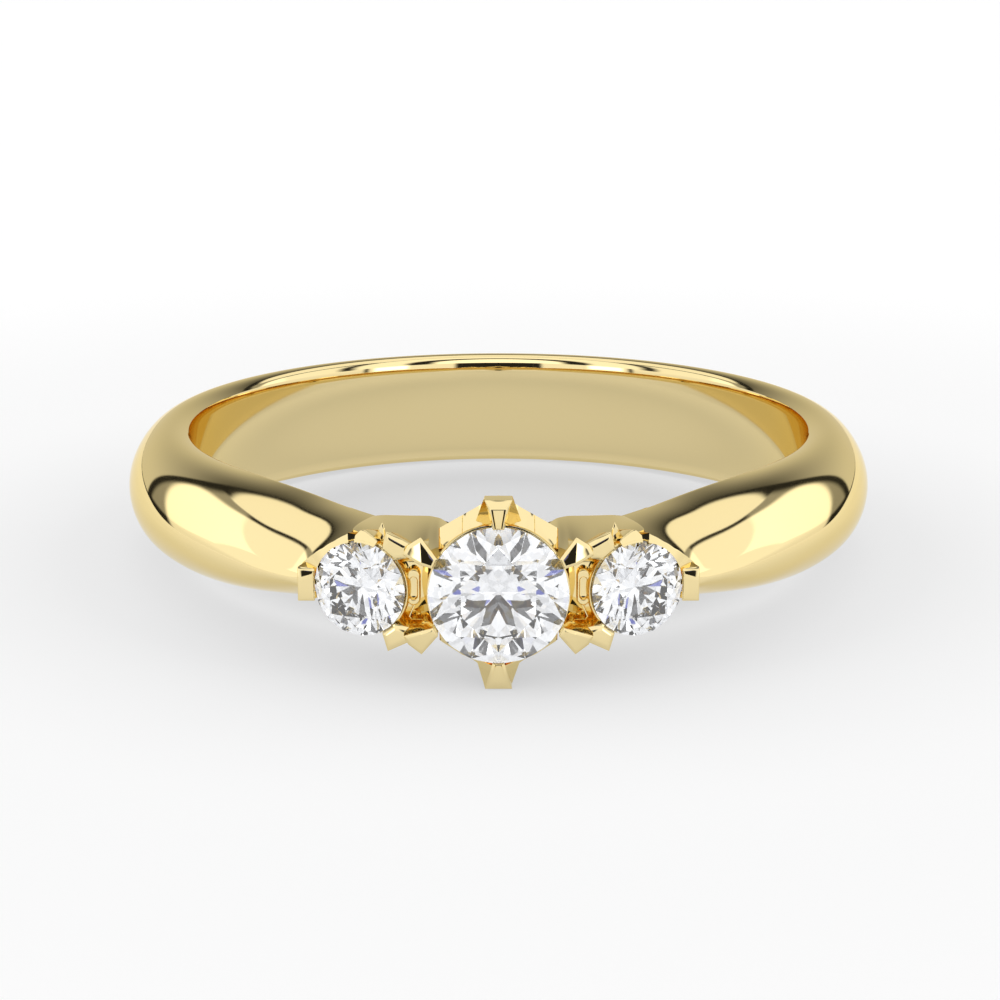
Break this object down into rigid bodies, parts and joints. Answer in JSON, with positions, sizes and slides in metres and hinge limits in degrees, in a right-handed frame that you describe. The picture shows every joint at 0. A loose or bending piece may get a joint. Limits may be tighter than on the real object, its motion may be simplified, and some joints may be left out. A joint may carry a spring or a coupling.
{
  "type": "diamond ring",
  "caption": "Yellow gold trilogy finger ring with three round brilliants in claw collets on a domed, swelling shank.",
  "frame": {"origin": "centre of the finger hole, halfway across the shank's width", "axes": "+Z along the finger hole and up as the ring lies on its side; the stones face -Y; +X to the right seen from the stones' side"},
  "size_m": [0.0206, 0.0228, 0.0046],
  "materials": {
    "yellow_gold": "polished",
    "diamond": "polished"
  },
  "bodies": {
    "root": {"gold_ring": "yellow_gold", "center_stone": "diamond", "left_stone": "diamond", "right_stone": "diamond"}
  },
  "joints": []
}
